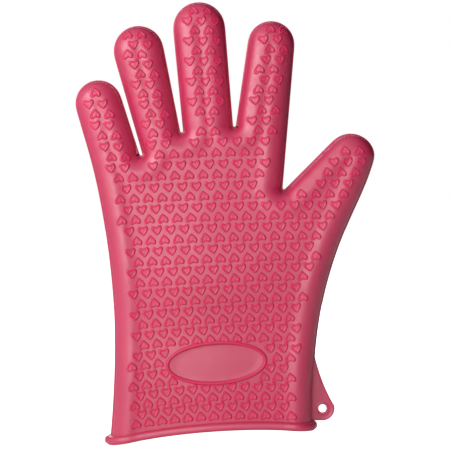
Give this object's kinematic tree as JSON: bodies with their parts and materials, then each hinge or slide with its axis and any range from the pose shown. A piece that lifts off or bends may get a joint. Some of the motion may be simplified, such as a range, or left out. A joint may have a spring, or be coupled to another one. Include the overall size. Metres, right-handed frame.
{
  "type": "silicone heat glove",
  "caption": "Hollow five-finger silicone glove for hot cookware, covered in small raised hearts, with a blank oval plate on the cuff, a rolled lip and a hanging tab.",
  "frame": {"origin": "middle of the cuff's opening, on the parting plane", "axes": "+Z from the cuff to the fingertips, +X towards the thumb, -Y out of the front face with the oval plate"},
  "size_m": [0.1837, 0.0368, 0.2714],
  "materials": {
    "silicone": "satin"
  },
  "bodies": {
    "palm": {"palm_shell": "silicone", "palm_grips_front": "silicone", "palm_grips_back": "silicone"},
    "cuff": {"cuff_shell": "silicone", "cuff_lip": "silicone", "label_rim": "silicone", "cuff_grips_front": "silicone", "cuff_grips_back": "silicone"},
    "tab": {"hanging_tab": "silicone"},
    "little_finger_base": {"little_finger_base": "silicone", "little_finger_base_grips": "silicone"},
    "little_finger_middle": {"little_finger_middle": "silicone", "little_finger_middle_grips": "silicone"},
    "little_finger_tip": {"little_finger_tip": "silicone", "little_finger_tip_grips": "silicone"},
    "ring_finger_base": {"ring_finger_base": "silicone", "ring_finger_base_grips": "silicone"},
    "ring_finger_middle": {"ring_finger_middle": "silicone", "ring_finger_middle_grips": "silicone"},
    "ring_finger_tip": {"ring_finger_tip": "silicone", "ring_finger_tip_grips": "silicone"},
    "middle_finger_base": {"middle_finger_base": "silicone", "middle_finger_base_grips": "silicone"},
    "middle_finger_middle": {"middle_finger_middle": "silicone", "middle_finger_middle_grips": "silicone"},
    "middle_finger_tip": {"middle_finger_tip": "silicone", "middle_finger_tip_grips": "silicone"},
    "index_finger_base": {"index_finger_base": "silicone", "index_finger_base_grips": "silicone"},
    "index_finger_middle": {"index_finger_middle": "silicone", "index_finger_middle_grips": "silicone"},
    "index_finger_tip": {"index_finger_tip": "silicone", "index_finger_tip_grips": "silicone"},
    "thumb_base": {"thumb_base": "silicone", "thumb_base_grips": "silicone"},
    "thumb_tip": {"thumb_tip": "silicone", "thumb_tip_grips": "silicone"}
  },
  "joints": [
    {"name": "wrist_flex", "type": "hinge", "parent": "palm", "child": "cuff", "pos_m": [0, 0, 0.062], "axis": [1, 0, 0], "range_deg": [-25, 25], "stiffness_Nm_per_rad": 0.3},
    {"name": "little_finger_root_flex", "type": "hinge", "parent": "palm", "child": "little_finger_base", "pos_m": [-0.05899, -0.0045, 0.16286], "axis": [0.9563, 0, 0.2924], "range_deg": [-10, 50], "stiffness_Nm_per_rad": 0.05},
    {"name": "little_finger_middle_flex", "type": "hinge", "parent": "little_finger_base", "child": "little_finger_middle", "pos_m": [-0.06367, -0.0045, 0.17816], "axis": [0.9563, 0, 0.2924], "range_deg": [-10, 55], "stiffness_Nm_per_rad": 0.03},
    {"name": "little_finger_tip_flex", "type": "hinge", "parent": "little_finger_middle", "child": "little_finger_tip", "pos_m": [-0.06835, -0.0045, 0.19346], "axis": [0.9563, 0, 0.2924], "range_deg": [-10, 35], "stiffness_Nm_per_rad": 0.02},
    {"name": "ring_finger_root_flex", "type": "hinge", "parent": "palm", "child": "ring_finger_base", "pos_m": [-0.03296, -0.0045, 0.17846], "axis": [0.9732, 0, 0.23], "range_deg": [-10, 50], "stiffness_Nm_per_rad": 0.05},
    {"name": "ring_finger_middle_flex", "type": "hinge", "parent": "ring_finger_base", "child": "ring_finger_middle", "pos_m": [-0.03791, -0.0045, 0.19939], "axis": [0.9732, 0, 0.23], "range_deg": [-10, 55], "stiffness_Nm_per_rad": 0.03},
    {"name": "ring_finger_tip_flex", "type": "hinge", "parent": "ring_finger_middle", "child": "ring_finger_tip", "pos_m": [-0.04297, -0.0045, 0.22079], "axis": [0.9732, 0, 0.23], "range_deg": [-10, 35], "stiffness_Nm_per_rad": 0.02},
    {"name": "middle_finger_root_flex", "type": "hinge", "parent": "palm", "child": "middle_finger_base", "pos_m": [-0.00315, -0.0045, 0.18422], "axis": [0.9965, 0, 0.0837], "range_deg": [-10, 50], "stiffness_Nm_per_rad": 0.05},
    {"name": "middle_finger_middle_flex", "type": "hinge", "parent": "middle_finger_base", "child": "middle_finger_middle", "pos_m": [-0.0052, -0.0045, 0.20863], "axis": [0.9965, 0, 0.0837], "range_deg": [-10, 55], "stiffness_Nm_per_rad": 0.03},
    {"name": "middle_finger_tip_flex", "type": "hinge", "parent": "middle_finger_middle", "child": "middle_finger_tip", "pos_m": [-0.0073, -0.0045, 0.23354], "axis": [0.9965, 0, 0.0837], "range_deg": [-10, 35], "stiffness_Nm_per_rad": 0.02},
    {"name": "index_finger_root_flex", "type": "hinge", "parent": "palm", "child": "index_finger_base", "pos_m": [0.03024, -0.0045, 0.18332], "axis": [0.994, 0, -0.1097], "range_deg": [-10, 50], "stiffness_Nm_per_rad": 0.05},
    {"name": "index_finger_middle_flex", "type": "hinge", "parent": "index_finger_base", "child": "index_finger_middle", "pos_m": [0.03249, -0.0045, 0.20369], "axis": [0.994, 0, -0.1097], "range_deg": [-10, 55], "stiffness_Nm_per_rad": 0.03},
    {"name": "index_finger_tip_flex", "type": "hinge", "parent": "index_finger_middle", "child": "index_finger_tip", "pos_m": [0.03479, -0.0045, 0.22457], "axis": [0.994, 0, -0.1097], "range_deg": [-10, 35], "stiffness_Nm_per_rad": 0.02},
    {"name": "thumb_root_flex", "type": "hinge", "parent": "palm", "child": "thumb_base", "pos_m": [0.06339, -0.005, 0.13478], "axis": [0.8192, 0, -0.5736], "range_deg": [-10, 50], "stiffness_Nm_per_rad": 0.05},
    {"name": "thumb_tip_flex", "type": "hinge", "parent": "thumb_base", "child": "thumb_tip", "pos_m": [0.07744, -0.005, 0.15485], "axis": [0.8192, 0, -0.5736], "range_deg": [-10, 35], "stiffness_Nm_per_rad": 0.02},
    {"name": "tab_flex", "type": "hinge", "parent": "cuff", "child": "tab", "pos_m": [0.06425, 0, 0.03], "axis": [0, 0, 1], "range_deg": [-40, 40], "stiffness_Nm_per_rad": 0.005}
  ]
}
